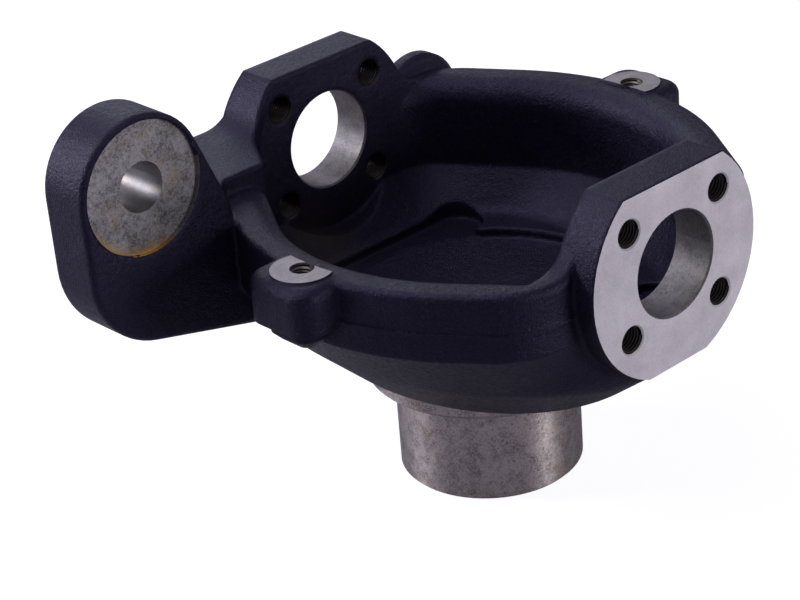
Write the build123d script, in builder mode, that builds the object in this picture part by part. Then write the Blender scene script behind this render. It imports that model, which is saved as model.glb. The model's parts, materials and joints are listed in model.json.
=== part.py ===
"""Swivel housing of a steered drive axle: one casting with two pivot ears, a spindle and a steering arm.

The spindle points down and stands on its end face. The pivot axis lies along Y, level, and crosses the
spindle's axis. The steering arm reaches out towards -X. All sizes are in millimetres.
"""
import os
from math import acos, degrees

from build123d import *

os.makedirs("parts", exist_ok=True)

# Spindle and collar, turned about Z
spindle_radius = 55.0
spindle_bore_radius = 32.0
seal_seat_radius = 38.0
seal_seat_depth = 12.0
spindle_edge = 2.0
collar_radius = 71.0
collar_edge = 2.5
axis_height = 174.0
collar_drop = 111.0

# Bowl, with heights measured from the pivot axis
rim_height = 13.75
bottom_drop = 95.0
wall = 26.5
round_wall_radius = 123.0
bowl_shift = -3.5
bowl_skew = 10.5
inner_corner_radius = 30.0
outer_corner_radius = 50.0
end_wall_y = 137.0
waist_drop = 25.0
belly_drop = 62.0
belly_half_x = 116.5
belly_half_y = 149.0
base_half_x = 81.0
base_half_y = 106.0
base_edge_radius = 14.0
belly_edge_radius = 25.0
mouth_radius = 15.0
rim_edge_radius = 4.0
floor_drop = 66.0
floor_half_x = 95.0
floor_half_y = 102.0
floor_corner_radius = 66.0
floor_edge_radius = 10.0
pad_radius = 58.0
dish_radius = 88.0
dish_wall_depth = 6.0
dish_drop = 82.0
inner_waist_drop = 42.0
parting_drop = 9.5
parting_width = 1.8
parting_proud = 0.7

# Relief slots across the floor, one below each ear
slot_centre_y = 81.5
slot_half_length = 60.0
slot_radius = 17.0
slot_floor_drop = 71.5
slot_top_drop = 58.0

# Pivot ears, on the Y axis
ear_inner_y = 124.6
ear_outer_y = 151.0
ear_radius = 65.0
ear_top = 51.5
ear_bottom = 60.7
flank_radius = 22.0
wide_side_x = 73.0
narrow_side_x = 60.0
pivot_bore_radius = 30.0
pivot_bore_chamfer = 1.0
cap_hole_spacing_x = 71.9
cap_hole_spacing_z = 62.6
cap_thread_radius = 8.0
cap_thread_chamfer = 0.9

# Rounded lug on the rim, beside the ear at the back
lug_x = 84.0
lug_drop = 8.0
lug_radius = 33.0
lug_inner_y = 130.0
lug_outer_y = 143.0
lug_edge = 3.0

# Stop bosses beside the rim
stop_x = 148.0
stop_offset_y = 14.5
stop_length_x = 46.0
stop_length_y = 50.0
stop_corner_radius = 13.0
stop_edge_radius = 7.0
stop_face_height = 15.3
stop_face_radius = 17.5
stop_face_proud = 1.0
stop_upper_drop = 13.0
stop_lower_drop = 25.0
stop_lower_width = 34.0
stop_lower_corner_radius = 10.0
stop_lower_chamfer = 5.0
stop_thread_radius = 6.0
stop_thread_chamfer = 0.8
stop_thread_depth = 30.0

# Steering arm, with its eye for a tapered stud along Y
eye_x = -189.0
eye_height = 56.0
eye_radius = 41.5
arm_front_y = 57.0
arm_back_y = 92.0
spot_face_radius = 38.3
spot_face_depth = 3.0
stud_mouth_radius = 14.5
stud_taper = 0.05
heel_radius = 50.0
heel_x = -180.0
heel_height = 13.0
arm_root_x = -112.0
arm_root_drop = 56.0
arm_edge_radius = 3.5
root_height = 24.5
root_front_y = 87.0
root_back_y = 149.0
root_neck_x = -150.0
root_throat_radius = 26.0
web_inset = 8.0
web_rise = 26.0
web_step = 0.5

rim_z = axis_height + rim_height
floor_z = axis_height - floor_drop
bottom_z = axis_height - bottom_drop
waist_z = axis_height - waist_drop
belly_z = axis_height - belly_drop
inner_waist_z = axis_height - inner_waist_drop
collar_z = axis_height - collar_drop
dish_z = axis_height - dish_drop
near_centre_y = bowl_shift - bowl_skew
far_centre_y = bowl_shift + bowl_skew
eye_depth = arm_back_y - arm_front_y - spot_face_depth
from_face = (Align.CENTER, Align.CENTER, Align.MIN)


def touch(corner, centre, radius, turn):
    """Point where a straight wall from a corner runs into the round wall."""
    reach = Vector(*corner) - Vector(*centre)
    swing = turn * degrees(acos(radius / reach.length))
    return Vector(*centre) + reach.normalized().rotate(Axis.Z, swing) * radius


near = (0, near_centre_y)
far = (0, far_centre_y)
near_front = (-wide_side_x, -ear_inner_y)
near_back = (-narrow_side_x, ear_inner_y)
far_back = (wide_side_x, ear_inner_y)
far_front = (narrow_side_x, -ear_inner_y)

# Inner outline of the bowl: two round walls run straight on to the ears' inner faces
with BuildLine() as mouth_line:
    near_start = touch(near_front, near, round_wall_radius, -1)
    near_end = touch(near_back, near, round_wall_radius, 1)
    far_start = touch(far_back, far, round_wall_radius, -1)
    far_end = touch(far_front, far, round_wall_radius, 1)
    Line(near_front, near_start)
    ThreePointArc(near_start, (-round_wall_radius, near_centre_y), near_end)
    Line(near_end, near_back)
    Line(near_back, far_back)
    Line(far_back, far_start)
    ThreePointArc(far_start, (round_wall_radius, far_centre_y), far_end)
    Line(far_end, far_front)
    Line(far_front, near_front)

with BuildSketch() as mouth:
    make_face(mouth_line.edges())
    corners = mouth.vertices().group_by(Axis.Y)
    fillet(corners[0] + corners[-1], inner_corner_radius)

with BuildSketch() as shell:
    make_face(mouth_line.edges())
    offset(amount=wall)
    Rectangle(600, 2 * end_wall_y, mode=Mode.INTERSECT)
    corners = shell.vertices().group_by(Axis.Y)
    fillet(corners[0] + corners[-1], outer_corner_radius)

ear_top_z = axis_height + ear_top
ear_bottom_z = axis_height - ear_bottom
root_z = axis_height + root_height
toe_z = axis_height - arm_root_drop
eye = (eye_x, axis_height + eye_height)
heel = (heel_x, axis_height + heel_height)
toe = (arm_root_x, toe_z)

# Steering arm: a flat plate round the eye, running down to a heel and in to the bowl
with BuildPart() as arm:
    with BuildSketch(Plane.XZ.offset(-arm_front_y)):
        with Locations(eye):
            Circle(eye_radius)
        with Locations(heel):
            Circle(heel_radius)
        make_hull()
        with BuildLine():
            Polyline(
                heel, touch(toe, heel, heel_radius, -1), toe, (arm_root_x, rim_z), (heel_x, rim_z),
                close=True,
            )
        make_face()
    extrude(amount=arm_front_y - arm_back_y)
    outline = arm.edges().filter_by(Axis.Y, reverse=True)
    fillet(outline.filter_by_position(Axis.X, 2 * eye_x, arm_root_x - 1), arm_edge_radius)

# Web between the arm and the ear behind it: its side outline cut to its plan outline
with BuildPart() as root:
    with BuildSketch(Plane.XZ.offset(-arm_front_y)) as root_side:
        with BuildLine():
            Polyline(
                (0, toe_z + web_inset), (arm_root_x, toe_z + web_inset), (heel_x, toe_z + web_rise),
                (heel_x, root_z), (0, root_z), close=True,
            )
        make_face()
        with Locations((0, axis_height)):
            Circle(ear_radius - web_step)
        with Locations((0, ear_top_z)):
            Rectangle(4 * ear_radius, ear_top, align=(Align.CENTER, Align.MIN), mode=Mode.SUBTRACT)
        throat = root_side.vertices().filter_by_position(Axis.Y, root_z - 1, root_z + 1)
        fillet(throat.filter_by_position(Axis.X, -ear_radius, -ear_radius / 2), root_throat_radius)
    extrude(amount=arm_front_y - root_back_y)
    with BuildSketch(Plane.XY.offset(toe_z)):
        with BuildLine():
            Polyline(
                (root_neck_x, arm_front_y + arm_edge_radius), (arm_root_x, root_front_y),
                (0, root_front_y), (0, root_back_y), (-narrow_side_x - wall, root_back_y),
                (root_neck_x, arm_back_y - arm_edge_radius), close=True,
            )
        make_face()
    extrude(amount=ear_top_z - toe_z, mode=Mode.INTERSECT)

# Outside of the bowl, its shoulders up to the ears, and the ears' round flanges
with BuildPart() as body:
    with BuildSketch(Plane.XY.offset(waist_z)):
        add(shell.sketch)
    extrude(amount=ear_top_z - waist_z)
    with BuildSketch(Plane.XZ.offset(-2 * end_wall_y)) as flank:
        with Locations((0, axis_height)):
            Circle(ear_radius)
        with Locations((0, rim_z)):
            Rectangle(6 * ear_radius, 2 * ear_radius, align=(Align.CENTER, Align.MAX))
        fillet(flank.vertices().group_by(Axis.Y)[-1], flank_radius)
    extrude(amount=4 * end_wall_y, mode=Mode.INTERSECT)
    with BuildSketch(Plane.XY.offset(waist_z)):
        add(shell.sketch)
    with BuildSketch(Plane.XY.offset(belly_z)):
        Ellipse(belly_half_x, belly_half_y)
    loft(ruled=True)
    with BuildSketch(Plane.XY.offset(belly_z)):
        Ellipse(belly_half_x, belly_half_y)
    with BuildSketch(Plane.XY.offset(bottom_z)):
        Ellipse(base_half_x, base_half_y)
    loft(ruled=True)
    fillet(body.faces().sort_by(Axis.Z)[0].edges(), base_edge_radius)
    fillet(body.edges().filter_by_position(Axis.Z, belly_z - 0.1, belly_z + 0.1), belly_edge_radius)
    fillet(body.edges().filter_by_position(Axis.Z, rim_z - 0.1, ear_top_z + 0.1), rim_edge_radius)

with BuildPart() as ears:
    with BuildSketch(Plane.XZ.offset(-ear_outer_y)):
        with Locations((0, axis_height)):
            Circle(ear_radius)
        with Locations((0, (ear_top_z + ear_bottom_z) / 2)):
            Rectangle(3 * ear_radius, ear_top_z - ear_bottom_z, mode=Mode.INTERSECT)
    extrude(amount=2 * ear_outer_y)

with BuildPart() as lug:
    with BuildSketch(Plane.XZ.offset(-lug_inner_y)):
        with Locations((lug_x, axis_height - lug_drop)):
            Circle(lug_radius)
    extrude(amount=lug_inner_y - lug_outer_y)
    chamfer(lug.edges().filter_by(GeomType.CIRCLE), lug_edge)

# Hollow of the bowl: an upright mouth, a funnel below it and a rounded lip along the rim
with BuildPart() as cavity:
    with BuildSketch(Plane.XY.offset(inner_waist_z)):
        add(mouth.sketch)
    extrude(amount=rim_z - inner_waist_z)
    with BuildSketch(Plane.XY.offset(rim_z)):
        add(mouth.sketch)
        offset(amount=mouth_radius + rim_edge_radius)
    extrude(amount=rim_height)
    step = cavity.faces().filter_by(Axis.Z).filter_by_position(Axis.Z, rim_z - 0.1, rim_z + 0.1)[0]
    fillet(step.inner_wires()[0].edges(), mouth_radius)
    with Locations((0, 0, axis_height)):
        Box(4 * end_wall_y, 2 * ear_inner_y, 2 * axis_height, mode=Mode.INTERSECT)
    add(root.part, mode=Mode.SUBTRACT)
    with BuildSketch(Plane.XY.offset(inner_waist_z)):
        add(mouth.sketch)
    extrude(amount=2 * ear_top)
    with BuildSketch(Plane.XY.offset(inner_waist_z)):
        add(mouth.sketch)
    with BuildSketch(Plane.XY.offset(floor_z)):
        RectangleRounded(2 * floor_half_x, 2 * floor_half_y, floor_corner_radius)
    loft(ruled=True)
    fillet(cavity.faces().sort_by(Axis.Z)[0].edges(), floor_edge_radius)
    with Locations(Plane.XZ.offset(-ear_inner_y)):
        with Locations((0, axis_height)):
            Cylinder(pad_radius, 2 * ear_inner_y, align=from_face)

# One stop boss: a block on a smaller foot, with a round seat on top, centred on the origin
with BuildPart() as stop:
    with BuildSketch(Plane.XY.offset(axis_height - stop_upper_drop)):
        RectangleRounded(stop_length_x, stop_length_y, stop_corner_radius)
    extrude(amount=stop_face_height + stop_upper_drop - stop_face_proud)
    fillet(stop.faces().sort_by(Axis.Z)[-1].edges(), stop_edge_radius)
    with BuildSketch(Plane.XY.offset(axis_height + stop_face_height)):
        Circle(stop_face_radius)
    extrude(amount=-2 * stop_face_proud)
    with BuildSketch(Plane.XY.offset(axis_height - stop_upper_drop)):
        RectangleRounded(stop_lower_width, stop_lower_width, stop_lower_corner_radius)
    extrude(amount=stop_upper_drop - stop_lower_drop)
    chamfer(stop.faces().sort_by(Axis.Z)[0].edges(), stop_lower_chamfer)

near_stop = Pos(-stop_x, bowl_shift - stop_offset_y, 0)
far_stop = Pos(stop_x, bowl_shift + stop_offset_y, 0) * Rot(0, 0, 180)

# Ring below the bowl and the spindle, turned in one
with BuildPart() as spindle:
    with BuildSketch(Plane.XZ):
        with BuildLine():
            Polyline(
                (0, 0), (spindle_radius - spindle_edge, 0), (spindle_radius, spindle_edge),
                (spindle_radius, collar_z), (collar_radius - collar_edge, collar_z),
                (collar_radius, collar_z + collar_edge), (collar_radius, bottom_z + base_edge_radius),
                (0, bottom_z + base_edge_radius), close=True,
            )
        make_face()
    revolve(axis=Axis.Z)

with BuildPart() as parting_ridge:
    with BuildSketch(Plane.XY.offset(axis_height - parting_drop - parting_width / 2)):
        add(shell.sketch)
        offset(amount=parting_proud)
    extrude(amount=parting_width)

# Dished middle of the floor, bored through for the shaft, with a seat for its seal
with BuildPart() as shaft_way:
    with BuildSketch(Plane.XZ):
        with BuildLine():
            Polyline(
                (0, -spindle_edge), (spindle_bore_radius, -spindle_edge),
                (spindle_bore_radius, dish_z - seal_seat_depth), (seal_seat_radius, dish_z - seal_seat_depth),
                (seal_seat_radius, dish_z), (dish_radius, floor_z - dish_wall_depth),
                (dish_radius, floor_z + rim_height), (0, floor_z + rim_height), close=True,
            )
        make_face()
    revolve(axis=Axis.Z)

with BuildPart() as slots:
    with BuildSketch(Plane.XY.offset(axis_height - slot_floor_drop)):
        with Locations((0, slot_centre_y), (0, -slot_centre_y)):
            SlotCenterToCenter(2 * slot_half_length, 2 * slot_radius)
    extrude(amount=slot_floor_drop - slot_top_drop)

with BuildPart() as housing:
    add(body.part)
    add(ears.part)
    add(lug.part)
    add(near_stop * stop.part)
    add(far_stop * stop.part)
    add(parting_ridge.part)
    add(spindle.part)
    add(arm.part)
    add(root.part)
    add(cavity.part, mode=Mode.SUBTRACT)
    add(shaft_way.part, mode=Mode.SUBTRACT)
    add(slots.part, mode=Mode.SUBTRACT)

    # Pivot bores, and the tapped holes round them for the pivot caps
    with Locations(Plane.XZ.offset(-ear_outer_y)):
        with Locations((0, axis_height)):
            Cylinder(pivot_bore_radius, 2 * ear_outer_y, align=from_face, mode=Mode.SUBTRACT)
            with GridLocations(cap_hole_spacing_x, cap_hole_spacing_z, 2, 2):
                Cylinder(cap_thread_radius, 2 * ear_outer_y, align=from_face, mode=Mode.SUBTRACT)

    # Tapped holes in the stop bosses
    with Locations(
        (-stop_x, bowl_shift - stop_offset_y, axis_height + stop_face_height),
        (stop_x, bowl_shift + stop_offset_y, axis_height + stop_face_height),
    ):
        CounterSinkHole(stop_thread_radius, stop_thread_radius + stop_thread_chamfer, stop_thread_depth, 90)

    # Spot face and tapered stud hole of the arm
    with Locations(Plane.XZ.offset(-arm_front_y - spot_face_depth)):
        with Locations(eye):
            Cylinder(spot_face_radius, spot_face_depth + arm_edge_radius, align=from_face, mode=Mode.SUBTRACT)
            Cone(
                stud_mouth_radius - stud_taper * eye_depth, stud_mouth_radius, eye_depth,
                align=(Align.CENTER, Align.CENTER, Align.MAX), mode=Mode.SUBTRACT,
            )

    # Small chamfers at the mouths of the pivot bores and of the tapped holes round them
    rings = housing.edges().filter_by(GeomType.CIRCLE).filter_by(lambda edge: edge.is_closed)
    chamfer(rings.filter_by(lambda edge: edge.radius == pivot_bore_radius), pivot_bore_chamfer)
    rings = housing.edges().filter_by(GeomType.CIRCLE).filter_by(lambda edge: edge.is_closed)
    chamfer(rings.filter_by(lambda edge: edge.radius == cap_thread_radius), cap_thread_chamfer)

housing.part.label = "swivel_housing"
export_step(housing.part, "parts/swivel_housing.step")
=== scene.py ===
"""Looks of the swivel housing: dark paint, bare machined faces, tapped threads and a plain studio."""

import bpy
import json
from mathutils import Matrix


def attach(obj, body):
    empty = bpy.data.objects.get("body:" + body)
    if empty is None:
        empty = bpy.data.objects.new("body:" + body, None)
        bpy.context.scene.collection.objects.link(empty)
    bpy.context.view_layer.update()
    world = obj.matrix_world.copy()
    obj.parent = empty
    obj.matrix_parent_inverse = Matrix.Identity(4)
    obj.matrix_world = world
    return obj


bl_info = {
    "name": "Swivel Housing Looks",
    "version": (1, 0, 0),
    "blender": (4, 5, 0),
    "location": "View3D > Sidebar > Swivel Housing",
    "description": "Finishes the casting, cuts its threads and sets up the studio",
    "category": "Object",
}

import json
from math import cos, hypot, pi, radians, sin

import bpy
from bpy.props import FloatProperty, FloatVectorProperty, PointerProperty
from mathutils import Matrix, Vector

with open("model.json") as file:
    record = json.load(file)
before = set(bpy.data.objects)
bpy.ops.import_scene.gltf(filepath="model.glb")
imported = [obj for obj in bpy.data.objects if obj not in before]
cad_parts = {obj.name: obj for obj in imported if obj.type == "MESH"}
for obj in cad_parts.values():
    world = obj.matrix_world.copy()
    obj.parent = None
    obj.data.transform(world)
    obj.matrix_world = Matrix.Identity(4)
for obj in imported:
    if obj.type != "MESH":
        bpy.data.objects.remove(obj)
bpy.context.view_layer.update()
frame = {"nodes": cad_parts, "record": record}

MM = 0.001
CASTING = "swivel_housing"

# Where the finishes of the casting end, from the axes of its holes, its pivot and its spindle
HOLE_CHAMFER = 0.9 * MM
BORE_CHAMFER = 1.2 * MM
SEAT_REACH = 17.6 * MM
SEAT_RISE = 10 * MM
SPOT_REACH = 38.5 * MM
SPOT_DEPTH = 3.5 * MM
EYE_DEPTH = 32.1 * MM
SPINDLE_INSIDE = 50 * MM
SPINDLE_REACH = 71.1 * MM
SPINDLE_TOP = 79 * MM
SHAFT_REACH = 38.2 * MM
SHAFT_TOP = 93 * MM

# A face is square to an axis when its normal has at least this share along it
SQUARE_ON = 0.99

# Shape of a thread's ridge, and the gap between its ends and the mouths of its hole
RIDGE_WIDTH = 0.97
RIDGE_SINK = 0.08 * MM
STEPS_PER_TURN = 36
END_GAP = 1 * MM

# Name, place, side, power and colour of each lamp, and the point that the lamps look at
LAMPS = (
    ("top_lamp", (-0.4, 0.4, 1.9), 1.2, 16, (0.92, 0.90, 1.0)),
    ("back_lamp", (1.0, 1.7, 1.05), 0.9, 5, (0.86, 0.86, 1.0)),
    ("left_lamp", (-1.3, 1.5, 0.95), 0.55, 30, (0.94, 0.94, 1.0)),
    ("right_lamp", (0.64, -1.60, 0.35), 0.6, 12, (0.97, 0.96, 1.0)),
)
LIT_POINT = (0, 0, 0.15)

mounts = {mount["name"]: mount for mount in frame["record"]["mounts"]}


def place(name):
    """Position of a mount, in metres."""
    return Vector(mounts[name]["pos_m"])


def radius(name):
    """Wall radius of a round mount, in metres."""
    return mounts[name]["dims"]["r_mm"] * MM


# The ears, of which a bore's length leaves out the chamfers at both mouths, 1 mm each
pivot = place("front_cap_bolts")
pivot.y = 0
ear_outer = abs(place("front_cap_face").y)
ear_inner = ear_outer - mounts["front_pivot_bore"]["dims"]["length_mm"] * MM - 2 * MM

# The tapped holes and the stud's hole
cap_dims = mounts["front_cap_bolts"]["dims"]
cap_hole_radius = cap_dims["hole_r_mm"] * MM
cap_half_x = cap_dims["spacing_x_mm"] * MM / 2
cap_half_z = cap_dims["spacing_y_mm"] * MM / 2
cap_holes = [
    (pivot.x + side * cap_half_x, pivot.z + level * cap_half_z)
    for side in (-1, 1) for level in (-1, 1)
]
stop_holes = [place("near_stop_hole"), place("far_stop_hole")]
stud = place("stud_hole")


class CastingLooks(bpy.types.PropertyGroup):
    """Colours and sizes of the casting's finishes"""

    paint: FloatVectorProperty(
        name="Paint", description="Colour of the dark paint", subtype="COLOR",
        default=(0.0045, 0.0038, 0.0100)
    )
    bare_iron: FloatVectorProperty(
        name="Milled iron", description="Colour of a milled face", subtype="COLOR",
        default=(0.69, 0.645, 0.68)
    )
    ground_iron: FloatVectorProperty(
        name="Ground iron", description="Colour of the ground spindle", subtype="COLOR",
        default=(0.54, 0.475, 0.47)
    )
    oil_stain: FloatVectorProperty(
        name="Oil stain", description="Tint of dried oil on bare metal", subtype="COLOR",
        default=(0.36, 0.26, 0.13)
    )
    stain_place: FloatVectorProperty(
        name="Stain place", description="Where oil has dried on the floor of the bowl", unit="LENGTH",
        default=(-0.026, 0.112, 0.120)
    )
    golden_oil: FloatVectorProperty(
        name="Golden oil", description="Fresh oil at the edge of the spot face", subtype="COLOR",
        default=(0.50, 0.30, 0.06)
    )
    dust: FloatVectorProperty(
        name="Dust", description="Pale specks of dust on the paint", subtype="COLOR",
        default=(0.08, 0.08, 0.12)
    )
    grain: FloatProperty(
        name="Cast grain", description="Width of one grain of the cast skin", unit="LENGTH", default=1.1 * MM
    )
    soft_edge: FloatProperty(
        name="Soft edge", description="Radius that paint rounds a cast edge to", unit="LENGTH",
        default=4.5 * MM
    )


class ThreadSizes(bpy.types.PropertyGroup):
    """Sizes of the tapped threads"""

    cap_pitch: FloatProperty(
        name="Cap screw pitch", description="Pitch of M16", unit="LENGTH", default=2.0 * MM
    )
    stop_pitch: FloatProperty(
        name="Stop screw pitch", description="Pitch of M12", unit="LENGTH", default=1.75 * MM
    )
    depth_share: FloatProperty(
        name="Thread depth", description="Depth over pitch", subtype="FACTOR", default=0.54
    )


class StudioSettings(bpy.types.PropertyGroup):
    """Camera and floor"""

    azimuth: FloatProperty(
        name="Azimuth", description="Camera turn about Z", subtype="ANGLE", default=radians(-41.63)
    )
    elevation: FloatProperty(
        name="Elevation", description="Camera height angle", subtype="ANGLE", default=radians(27.12)
    )
    roll: FloatProperty(name="Roll", description="Camera tilt", subtype="ANGLE", default=radians(-4.71))
    lens: FloatProperty(name="Lens", description="Focal length in millimetres", unit="CAMERA", default=112.6)
    camera_place: FloatVectorProperty(
        name="Camera place", description="Where the camera stands", unit="LENGTH",
        default=(-0.9027, -0.9433, 0.7765)
    )
    floor_size: FloatProperty(
        name="Floor size", description="Side of the floor", unit="LENGTH", default=12.0
    )
    floor_colour: FloatVectorProperty(
        name="Floor", description="Colour of the floor", subtype="COLOR", default=(0.25, 0.235, 0.30)
    )
    seen_lift: FloatProperty(
        name="Floor lift", description="Glow of the floor as the camera sees it", subtype="FACTOR", default=0.91
    )
    mirrored_lift: FloatProperty(
        name="Mirrored lift", description="Glow of the floor in reflections", subtype="FACTOR", default=0.07
    )


def add_node(tree, kind, **values):
    """Adds a shader node; each value is set on the input of that name, or else on the node itself."""
    node = tree.nodes.new("ShaderNode" + kind)
    for key, value in values.items():
        name = key.replace("_", " ").title()
        if name in node.inputs:
            node.inputs[name].default_value = value
        else:
            setattr(node, key, value)
    return node


def link(tree, source, target):
    """Joins an output to an input."""
    tree.links.new(source, target)


def noise(tree, vector, width, detail=2.0, roughness=0.55):
    """Noise whose features are about as wide as given, in metres."""
    node = add_node(tree, "TexNoise", scale=1 / width, detail=detail, roughness=roughness)
    link(tree, vector, node.inputs["Vector"])
    return node.outputs["Fac"]


def ramp(tree, value, stops):
    """Colour ramp over pairs of a position and a grey or a colour."""
    node = tree.nodes.new("ShaderNodeValToRGB")
    elements = node.color_ramp.elements
    while len(elements) < len(stops):
        elements.new(0.5)
    for element, (position, shade) in zip(elements, stops):
        element.position = position
        element.color = (shade, shade, shade, 1) if isinstance(shade, float) else (*shade, 1)
    link(tree, value, node.inputs["Fac"])
    return node.outputs["Color"]


def blend_colour(tree, share, first, second):
    """Mixes two colours, each a tuple or an output, by a share; the Mix node has its colours on 6, 7 and 2."""
    node = tree.nodes.new("ShaderNodeMix")
    node.data_type = "RGBA"
    for socket, colour in ((node.inputs[6], first), (node.inputs[7], second)):
        if isinstance(colour, bpy.types.NodeSocket):
            link(tree, colour, socket)
        else:
            socket.default_value = (*colour, 1)
    link(tree, share, node.inputs[0])
    return node.outputs[2]


def bump(tree, height, distance, strength, normal=None):
    """Bump node, chained to the normal before it."""
    node = add_node(tree, "Bump", strength=strength, distance=distance)
    link(tree, height, node.inputs["Height"])
    if normal:
        link(tree, normal, node.inputs["Normal"])
    return node.outputs["Normal"]


def new_material(name):
    """A material with its node tree, its shader and its object coordinates."""
    material = bpy.data.materials.new(name)
    material.use_nodes = True
    tree = material.node_tree
    shader = tree.nodes["Principled BSDF"]
    position = tree.nodes.new("ShaderNodeTexCoord").outputs["Object"]
    return material, tree, shader, position


def scaled(colour, factor):
    """A colour made lighter or darker."""
    return tuple(channel * factor for channel in colour)


def product(tree, first, second):
    """Product of two shares."""
    node = add_node(tree, "Math", operation="MULTIPLY")
    link(tree, first, node.inputs[0])
    link(tree, second, node.inputs[1])
    return node.outputs[0]


def measure(tree, point, steps):
    """Takes a point through vector steps, each an operation and its value, and gives the result's length."""
    for operation, value in steps:
        node = add_node(tree, "VectorMath", operation=operation)
        link(tree, point, node.inputs[0])
        if value is not None:
            node.inputs[1].default_value = value
        point = node.outputs[0]
    length = add_node(tree, "VectorMath", operation="LENGTH")
    link(tree, point, length.inputs[0])
    return length.outputs["Value"]


def painted_edge_glint(tree, rounded, position):
    """Share of painted highlight along edges: high where the rounded normal leaves the flat one, and broken up.
    """
    flat = tree.nodes.new("ShaderNodeNewGeometry").outputs["Normal"]
    match = add_node(tree, "VectorMath", operation="DOT_PRODUCT")
    link(tree, flat, match.inputs[0])
    link(tree, rounded, match.inputs[1])
    away = ramp(tree, match.outputs["Value"], [(0.90, 1.0), (0.995, 0.0)])
    broken = ramp(tree, noise(tree, position, 2.5 * MM, 4.0, 0.7), [(0.42, 0.0), (0.62, 0.45)])
    return product(tree, away, broken)


def paint_material(looks):
    """Semi-gloss dark paint over the grainy skin of a sand casting."""
    material, tree, shader, position = new_material("dark_paint")
    edge = add_node(tree, "Bevel", radius=looks.soft_edge)
    edge.samples = 8
    clouds = noise(tree, position, 45 * MM, 4.0)
    colour = blend_colour(tree, ramp(tree, clouds, [(0.3, 0.0), (0.7, 1.0)]),
                          scaled(looks.paint, 0.75), scaled(looks.paint, 1.3))
    # Painted highlight: along edges the paint is lightened fivefold, standing in for glints of light on the
    # rounded edges.
    edge_glint = painted_edge_glint(tree, edge.outputs["Normal"], position)
    colour = blend_colour(tree, edge_glint, colour, scaled(looks.paint, 5.0))
    mottle = ramp(tree, noise(tree, position, 1.5 * looks.grain, 2.0, 0.7), [(0.42, 0.0), (0.70, 0.8)])
    colour = blend_colour(tree, mottle, colour, scaled(looks.paint, 3.4))
    pores = ramp(tree, noise(tree, position, 2.6 * MM, 2.0), [(0.30, 0.85), (0.38, 0.0)])
    colour = blend_colour(tree, pores, colour, scaled(looks.paint, 0.2))
    specks = ramp(tree, noise(tree, position, 1.0 * MM, 0.0), [(0.80, 0.0), (0.85, 0.55)])
    colour = blend_colour(tree, specks, colour, tuple(looks.dust))
    puddle = add_node(tree, "VectorMath", operation="DISTANCE")
    puddle.inputs[1].default_value = looks.stain_place
    link(tree, position, puddle.inputs[0])
    near = ramp(tree, puddle.outputs["Value"], [(8 * MM, 0.5), (32 * MM, 0.0)])
    colour = blend_colour(tree, near, colour, scaled(looks.oil_stain, 0.11))
    link(tree, colour, shader.inputs["Base Color"])
    gloss = noise(tree, position, 2.2 * looks.grain, 3.0)
    link(tree, ramp(tree, gloss, [(0.3, 0.29), (0.7, 0.49)]), shader.inputs["Roughness"])
    swell = bump(tree, noise(tree, position, 26 * MM, 2.0), 1.5 * MM, 0.6, edge.outputs["Normal"])
    pebbles = bump(tree, noise(tree, position, 3.4 * looks.grain, 2.0), 0.55 * MM, 0.7, swell)
    grains = bump(tree, noise(tree, position, looks.grain, 3.0, 0.6), 0.55 * MM, 1.0, pebbles)
    link(tree, grains, shader.inputs["Normal"])
    shader.inputs["Specular IOR Level"].default_value = 0.30
    shader.inputs["Specular Tint"].default_value = (0.67, 0.61, 1.0, 1)
    return material


def ring_distance(tree, position, centre, axis):
    """Distance from a line through a point along the named axis, for marks that run round it."""
    across = {"Y": (1, 0, 1), "Z": (1, 1, 0)}[axis]
    return measure(tree, position, (("SUBTRACT", centre), ("MULTIPLY", across)))


def lines(tree, value, width):
    """Fine parallel marks along whatever the value measures."""
    node = add_node(tree, "TexNoise", noise_dimensions="1D", scale=1 / width, detail=2.0)
    link(tree, value, node.inputs["W"])
    return node.outputs["Fac"]


def metal_material(name, colour, marks, looks, metallic, rough, stain, mottle, groove=0.01 * MM):
    """Bare machined iron: tool marks, cloudy gloss, mottled grain, faint stains and small dark pits."""
    material, tree, shader, position = new_material(name)
    fine = lines(tree, marks(tree, position), 0.35 * MM)
    clouds = noise(tree, position, 24 * MM, 4.0)
    body = blend_colour(tree, ramp(tree, clouds, [(0.3, 0.0), (0.7, 1.0)]),
                        scaled(colour, 0.85), scaled(colour, 1.1))
    body = blend_colour(tree, ramp(tree, fine, [(0.3, 0.0), (0.7, 0.35)]), body, scaled(colour, 0.7))
    blots = ramp(tree, noise(tree, position, 9 * MM, 6.0, 0.75), [(0.42, mottle), (0.58, 0.0)])
    body = blend_colour(tree, blots, body, scaled(colour, 0.35))
    grain_share = 0.15 + 0.7 * mottle
    grains = ramp(tree, noise(tree, position, 1.1 * MM, 3.0, 0.7), [(0.40, 0.0), (0.68, grain_share)])
    body = blend_colour(tree, grains, body, scaled(colour, 1.45))
    stains = ramp(tree, noise(tree, position, 17 * MM, 5.0, 0.65), [(0.54, 0.0), (0.70, stain)])
    body = blend_colour(tree, stains, body, tuple(looks.oil_stain))
    pits = ramp(tree, noise(tree, position, 1.6 * MM, 2.0), [(0.66, 0.0), (0.72, 0.1 + mottle)])
    body = blend_colour(tree, pits, body, scaled(colour, 0.25))
    link(tree, body, shader.inputs["Base Color"])
    link(tree, ramp(tree, clouds, [(0.25, rough[0]), (0.75, rough[1])]), shader.inputs["Roughness"])
    cut = bump(tree, fine, groove, 1.0)
    link(tree, bump(tree, noise(tree, position, 1.2 * MM, 3.0), 0.05 * MM, 0.5, cut), shader.inputs["Normal"])
    shader.inputs["Metallic"].default_value = metallic
    return material


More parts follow.
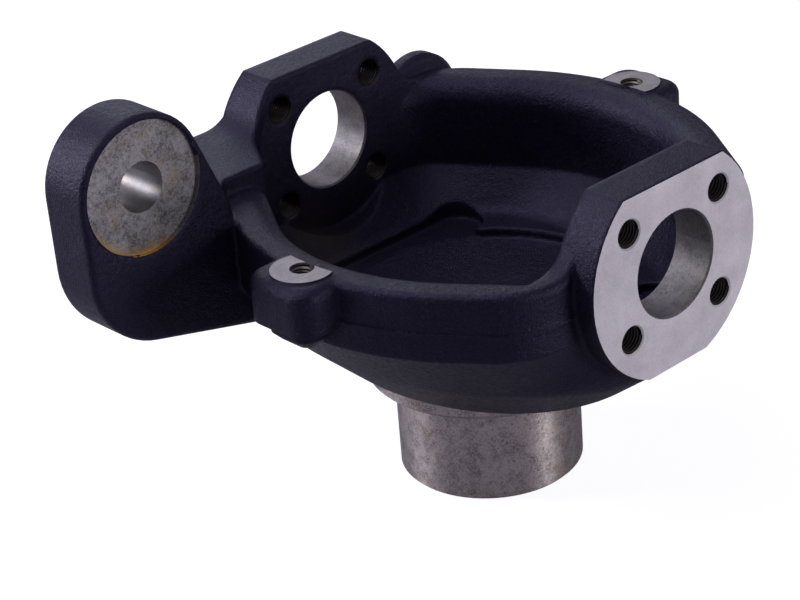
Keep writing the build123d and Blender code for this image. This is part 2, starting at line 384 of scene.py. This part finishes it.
def add_turned_sheen(material):
    """Stretches highlights along the spindle, as the fine rings of turning and grinding do."""
    tree = material.node_tree
    shader = tree.nodes["Principled BSDF"]
    along_spindle = add_node(tree, "CombineXYZ")
    along_spindle.inputs["Z"].default_value = 1.0
    link(tree, along_spindle.outputs[0], shader.inputs["Tangent"])
    shader.inputs["Anisotropic"].default_value = 0.78
    return material


def add_golden_edge(material, looks):
    """Dried oil that has run to the lower edge of the spot face of the arm's eye."""
    tree = material.node_tree
    shader = tree.nodes["Principled BSDF"]
    position = next(node for node in tree.nodes if node.type == "TEX_COORD").outputs["Object"]
    far_out = ramp(tree, ring_distance(tree, position, stud, "Y"), [(34.5 * MM, 0.0), (37.2 * MM, 1.0)])
    uphill = Vector((0.4, 0, 0.917))
    height = add_node(tree, "VectorMath", operation="DOT_PRODUCT")
    height.inputs[1].default_value = uphill
    link(tree, position, height.inputs[0])
    middle = uphill.x * stud.x + uphill.z * stud.z
    low = add_node(tree, "MapRange")
    low.inputs["From Min"].default_value = middle - 22 * MM
    low.inputs["From Max"].default_value = middle - 33 * MM
    link(tree, height.outputs["Value"], low.inputs["Value"])
    share = product(tree, far_out, low.outputs["Result"])
    before = shader.inputs["Base Color"].links[0].from_socket
    link(tree, blend_colour(tree, share, before, tuple(looks.golden_oil)), shader.inputs["Base Color"])
    return material


def along(axis):
    """Marks that repeat along one axis, as a lathe or a boring bar leaves."""
    def value(tree, position):
        parts = tree.nodes.new("ShaderNodeSeparateXYZ")
        link(tree, position, parts.inputs[0])
        return parts.outputs[axis]
    return value


def around(centre, axis):
    """Marks that run in rings round a line."""
    return lambda tree, position: ring_distance(tree, position, centre, axis)


def cap_root_shade_ramp(tree, position):
    """Share from 0 at the root to 1 at the crest of the cap screws' threads, the same in all eight holes; where
    it is low the roots get painted shade.
    """
    from_centre = measure(tree, position, (
        ("SUBTRACT", pivot),
        ("ABSOLUTE", None),
        ("SUBTRACT", (cap_half_x, 0, cap_half_z)),
        ("MULTIPLY", (1, 0, 1)),
    ))
    crest_end, root_start = cap_hole_radius - 0.75 * MM, cap_hole_radius - 0.35 * MM
    return ramp(tree, from_centre, [(crest_end, 1.0), (root_start, 0.0)])


def thread_material(name, dark, light, crest=None):
    """Cut metal of a tapped hole; where the share of the crest is given, the roots are painted almost black as
    painted shade.
    """
    material, tree, shader, position = new_material(name)
    tone = ramp(tree, noise(tree, position, 5 * MM, 2.0), [(0.35, dark), (0.65, light)])
    if crest:
        # Painted shade: the roots of the cap threads are blended to almost black.
        tone = blend_colour(tree, crest(tree, position), (0.012, 0.010, 0.010), tone)
    link(tree, tone, shader.inputs["Base Color"])
    shader.inputs["Metallic"].default_value = 0.9
    shader.inputs["Roughness"].default_value = 0.42
    link(tree, bump(tree, noise(tree, position, 0.8 * MM, 2.0), 0.05 * MM, 0.3), shader.inputs["Normal"])
    return material


def finish_at(centre, normal):
    """Name of the finish of a face of the casting, from where it is and how it faces."""
    from_pivot = hypot(centre.x - pivot.x, centre.z - pivot.z)
    from_stud = hypot(centre.x - stud.x, centre.z - stud.z)
    reach = hypot(centre.x, centre.y)
    depth = abs(centre.y)
    if depth > ear_inner - 1 * MM:
        from_hole = min(hypot(centre.x - x, centre.z - z) for x, z in cap_holes)
        if from_hole < cap_hole_radius + 0.1 * MM:
            return "thread"
        slanted = 0.1 < abs(normal.y) < 0.9
        if slanted and from_hole < cap_hole_radius + HOLE_CHAMFER:
            return "face" if depth > ear_outer - 2 * MM else "thread"
        if from_pivot < radius("front_pivot_bore") + BORE_CHAMFER:
            return "bore"
        if depth > ear_outer - 0.3 * MM and abs(normal.y) > SQUARE_ON:
            return "face"
    for hole in stop_holes:
        aside = hypot(centre.x - hole.x, centre.y - hole.y)
        if aside < radius("near_stop_hole") + 0.3 * MM:
            return "thread"
        if aside < SEAT_REACH and abs(centre.z - hole.z - SEAT_RISE) < 0.2 * MM:
            return "seat"
    if stud.y - SPOT_DEPTH < centre.y < stud.y + EYE_DEPTH:
        if from_stud < radius("stud_hole") + 0.2 * MM:
            return "eye"
        across_stud = normal.y < -SQUARE_ON or abs(normal.y) < 0.01
        if from_stud < SPOT_REACH and across_stud and centre.y < stud.y + 0.3 * MM:
            return "spot"
    if SPINDLE_INSIDE < reach < SPINDLE_REACH and centre.z < SPINDLE_TOP:
        return "ground"
    if reach < SHAFT_REACH and centre.z < SHAFT_TOP:
        return "shaft"
    return "paint"


class OBJECT_OT_finish_swivel_casting(bpy.types.Operator):
    """Gives each face of the casting the finish of its place"""

    bl_idname = "object.finish_swivel_casting"
    bl_label = "Finish Casting"

    def execute(self, context):
        looks = context.scene.casting_looks
        bare = tuple(looks.bare_iron)
        ground = tuple(looks.ground_iron)
        finishes = {
            "paint": paint_material(looks),
            "face": metal_material(
                "milled_face", bare, around(pivot, "Y"), looks,
                metallic=0.35, rough=(0.42, 0.54), stain=0.05, mottle=0.1,
            ),
            "seat": metal_material(
                "milled_seat", scaled(bare, 0.47), around(stop_holes[0], "Z"), looks,
                metallic=0.35, rough=(0.4, 0.5), stain=0.1, mottle=0.35,
            ),
            # The bored wall and the reamed eye are the milled iron darkened to under a third: painted shade
            # inside the holes.
            "bore": metal_material(
                "bored_wall", scaled(bare, 0.28), along("Y"), looks,
                metallic=0.8, rough=(0.5, 0.62), stain=0.15, mottle=0.6, groove=0.012 * MM,
            ),
            "eye": metal_material(
                "reamed_eye", scaled(bare, 0.27), along("Y"), looks,
                metallic=0.85, rough=(0.42, 0.5), stain=0.3, mottle=0.3,
            ),
            "spot": add_golden_edge(metal_material(
                "spot_faced_eye", scaled(bare, 0.43), around(stud, "Y"), looks,
                metallic=0.75, rough=(0.3, 0.5), stain=0.45, mottle=0.95,
            ), looks),
            "ground": add_turned_sheen(metal_material(
                "ground_spindle", ground, along("Z"), looks,
                metallic=0.95, rough=(0.33, 0.43), stain=0.4, mottle=0.8, groove=0.02 * MM,
            )),
            "shaft": metal_material(
                "bored_shaft_way", ground, along("Z"), looks,
                metallic=0.9, rough=(0.3, 0.42), stain=0.3, mottle=0.3,
            ),
            # The near-black thread_root tone on the casting's tapped hole walls and inner mouths is painted
            # shade, far darker than the same cut metal of the ridges.
            "thread": thread_material("thread_root", (0.030, 0.026, 0.024), (0.065, 0.056, 0.050)),
        }
        thread_material("stop_thread", (0.11, 0.098, 0.088), (0.22, 0.195, 0.175))
        thread_material("cap_thread", (0.26, 0.235, 0.205), (0.46, 0.41, 0.37), cap_root_shade_ramp)
        casting = frame["nodes"][CASTING]
        casting.data.materials.clear()
        for material in finishes.values():
            casting.data.materials.append(material)
        order = list(finishes)
        for face in casting.data.polygons:
            face.material_index = order.index(finish_at(face.center, face.normal))
        return {"FINISHED"}


def only(piece):
    """Makes one object the only selected and the active one."""
    bpy.ops.object.select_all(action="DESELECT")
    piece.select_set(True)
    bpy.context.view_layer.objects.active = piece


def thread_along_z(name, hole_radius, pitch, length, depth_share):
    """A helical ridge that stands inwards from the wall of a hole along Z, from the origin upwards."""
    side = pitch * RIDGE_WIDTH
    bpy.ops.object.select_all(action="DESELECT")
    bpy.ops.mesh.primitive_circle_add(vertices=3, radius=side / 3 ** 0.5, rotation=(pi / 2, 0, 0))
    ridge = bpy.context.object
    ridge.name = name
    bpy.ops.object.transform_apply(location=False, rotation=True, scale=False)
    bpy.ops.object.mode_set(mode="EDIT")
    bpy.ops.mesh.select_all(action="SELECT")
    bpy.ops.transform.rotate(value=pi / 2, orient_axis="Y", center_override=(0, 0, 0))
    bpy.ops.object.mode_set(mode="OBJECT")
    tip = min(vertex.co.x for vertex in ridge.data.vertices)
    root = max(vertex.co.x for vertex in ridge.data.vertices)
    ridge.data.transform(Matrix.Translation((-root, 0, 0)))
    ridge.data.transform(Matrix.Diagonal((pitch * depth_share / (root - tip), 1, 1, 1)))
    ridge.data.transform(Matrix.Translation((hole_radius + RIDGE_SINK, 0, pitch)))
    screw = ridge.modifiers.new("turns", "SCREW")
    screw.screw_offset = pitch
    screw.iterations = int(length / pitch) - 1
    screw.steps = screw.render_steps = STEPS_PER_TURN
    only(ridge)
    bpy.ops.object.modifier_apply(modifier=screw.name)
    bpy.ops.object.mode_set(mode="EDIT")
    bpy.ops.mesh.select_all(action="SELECT")
    bpy.ops.mesh.fill_holes(sides=3)
    bpy.ops.mesh.normals_make_consistent(inside=False)
    bpy.ops.object.mode_set(mode="OBJECT")
    return ridge


def place_threads(master, name, places, material):
    """Copies one thread to each place, joins the copies into one piece and lets it ride on the casting."""
    copies = []
    for matrix in places:
        only(master)
        bpy.ops.object.duplicate(linked=False)
        copy = bpy.context.object
        copy.data.transform(matrix)
        copies.append(copy)
    bpy.ops.object.select_all(action="DESELECT")
    for copy in copies:
        copy.select_set(True)
    bpy.context.view_layer.objects.active = copies[0]
    bpy.ops.object.join()
    piece = bpy.context.object
    piece.name = name
    piece.data.name = name
    bpy.data.objects.remove(master)
    piece.data.materials.append(bpy.data.materials[material])
    bpy.ops.object.shade_smooth_by_angle(angle=radians(35))
    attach(piece, "root")


class OBJECT_OT_cut_cap_threads(bpy.types.Operator):
    """Cuts the threads for the pivot caps' screws in both ears"""

    bl_idname = "object.cut_cap_threads"
    bl_label = "Cut Cap Screw Threads"

    def execute(self, context):
        sizes = context.scene.thread_sizes
        length = ear_outer - ear_inner - 2 * END_GAP
        master = thread_along_z("cap_thread", cap_hole_radius, sizes.cap_pitch, length, sizes.depth_share)
        lay = Matrix.Rotation(pi / 2, 4, "X")
        starts = [
            Matrix.Translation((x, y, z)) @ lay
            for y in (-ear_inner - END_GAP, ear_outer - END_GAP) for x, z in cap_holes
        ]
        place_threads(master, "cap_screw_threads", starts, "cap_thread")
        return {"FINISHED"}


class OBJECT_OT_cut_stop_threads(bpy.types.Operator):
    """Cuts the threads for the stop screws"""

    bl_idname = "object.cut_stop_threads"
    bl_label = "Cut Stop Screw Threads"

    def execute(self, context):
        sizes = context.scene.thread_sizes
        hole_radius = radius("near_stop_hole")
        length = mounts["near_stop_hole"]["dims"]["length_mm"] * MM - END_GAP
        master = thread_along_z("stop_thread", hole_radius, sizes.stop_pitch, length, sizes.depth_share)
        top = stop_holes[0].z + SEAT_RISE - END_GAP
        starts = [Matrix.Translation((hole.x, hole.y, top - length)) for hole in stop_holes]
        place_threads(master, "stop_screw_threads", starts, "stop_thread")
        return {"FINISHED"}


def area_lamp(name, location, size, power, colour):
    """A soft square lamp that looks at the part."""
    bpy.ops.object.light_add(type="AREA", location=location)
    lamp = bpy.context.object
    lamp.name = name
    lamp.data.size = size
    lamp.data.energy = power
    lamp.data.color = colour
    lamp.rotation_euler = (Vector(location) - Vector(LIT_POINT)).to_track_quat("Z", "Y").to_euler()


def floor_material(colour, seen_lift, mirrored_lift):
    """Pale floor that keeps the shadow and reads as white away from it."""
    material, tree, shader, position = new_material("pale_floor")
    tone = ramp(tree, noise(tree, position, 0.4, 3.0), [(0.3, scaled(colour, 0.985)), (0.7, colour)])
    link(tree, tone, shader.inputs["Base Color"])
    shader.inputs["Roughness"].default_value = 0.9
    path = tree.nodes.new("ShaderNodeLightPath")
    mirrored = add_node(tree, "Math", operation="MAXIMUM")
    link(tree, path.outputs["Is Glossy Ray"], mirrored.inputs[0])
    link(tree, path.outputs["Is Transmission Ray"], mirrored.inputs[1])
    dimmed = add_node(tree, "Math", operation="MULTIPLY")
    dimmed.inputs[1].default_value = mirrored_lift
    link(tree, mirrored.outputs[0], dimmed.inputs[0])
    lift = add_node(tree, "Math", operation="MULTIPLY_ADD")
    lift.inputs[1].default_value = seen_lift
    link(tree, path.outputs["Is Camera Ray"], lift.inputs[0])
    link(tree, dimmed.outputs[0], lift.inputs[2])
    shader.inputs["Emission Color"].default_value = (1, 1, 1, 1)
    link(tree, lift.outputs[0], shader.inputs["Emission Strength"])
    return material


class OBJECT_OT_set_swivel_studio(bpy.types.Operator):
    """Sets the floor, the lamps, the world and the camera"""

    bl_idname = "object.set_swivel_studio"
    bl_label = "Set Studio"

    def execute(self, context):
        studio = context.scene.studio_settings
        bpy.ops.object.select_all(action="DESELECT")
        bpy.ops.mesh.primitive_plane_add(size=studio.floor_size)
        floor = bpy.context.object
        floor.name = "studio_floor"
        floor.data.materials.append(
            floor_material(tuple(studio.floor_colour), studio.seen_lift, studio.mirrored_lift)
        )
        for lamp in LAMPS:
            area_lamp(*lamp)
        world = bpy.data.worlds.new("studio_air")
        world.use_nodes = True
        air = world.node_tree.nodes["Background"].inputs
        air["Color"].default_value = (0.88, 0.86, 1.0, 1)
        air["Strength"].default_value = 0.22
        context.scene.world = world
        context.scene.view_settings.view_transform = "Standard"
        bpy.ops.object.camera_add(location=studio.camera_place)
        camera = bpy.context.object
        camera.name = "photo_camera"
        camera.data.lens = studio.lens
        camera.data.sensor_width = 36
        camera.data.clip_end = 50
        camera.matrix_world = Matrix.Translation(studio.camera_place) @ camera_turn(studio).to_4x4()
        context.scene.camera = camera
        return {"FINISHED"}


def camera_turn(studio):
    """Camera axes from its azimuth, elevation and roll."""
    a, e, r = studio.azimuth, studio.elevation, studio.roll
    right = Vector((cos(a), sin(a), 0))
    back = Vector((sin(a) * cos(e), -cos(a) * cos(e), sin(e)))
    up = back.cross(right)
    turned_right = right * cos(r) + up * sin(r)
    turned_up = up * cos(r) - right * sin(r)
    return Matrix((turned_right, turned_up, back)).transposed()


class VIEW3D_PT_swivel_housing(bpy.types.Panel):
    """Panel with the steps in order"""

    bl_label = "Swivel Housing"
    bl_idname = "VIEW3D_PT_swivel_housing"
    bl_space_type = "VIEW_3D"
    bl_region_type = "UI"
    bl_category = "Swivel Housing"

    def draw(self, context):
        for operator in STEPS:
            self.layout.operator(operator.bl_idname)


GROUPS = {
    "casting_looks": CastingLooks,
    "thread_sizes": ThreadSizes,
    "studio_settings": StudioSettings,
}
STEPS = (
    OBJECT_OT_finish_swivel_casting,
    OBJECT_OT_cut_cap_threads,
    OBJECT_OT_cut_stop_threads,
    OBJECT_OT_set_swivel_studio,
)


def register():
    """Registers the groups, the steps and the panel."""
    for name, group in GROUPS.items():
        bpy.utils.register_class(group)
        setattr(bpy.types.Scene, name, PointerProperty(type=group))
    for operator in STEPS:
        bpy.utils.register_class(operator)
    bpy.utils.register_class(VIEW3D_PT_swivel_housing)


def unregister():
    """Takes the panel, the steps and the groups out again."""
    bpy.utils.unregister_class(VIEW3D_PT_swivel_housing)
    for operator in reversed(STEPS):
        bpy.utils.unregister_class(operator)
    for name, group in GROUPS.items():
        delattr(bpy.types.Scene, name)
        bpy.utils.unregister_class(group)


def main():
    """Registers the add-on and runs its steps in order."""
    register()
    bpy.ops.object.finish_swivel_casting()
    bpy.ops.object.cut_cap_threads()
    bpy.ops.object.cut_stop_threads()
    bpy.ops.object.set_swivel_studio()


if __name__ == "__main__":
    main()
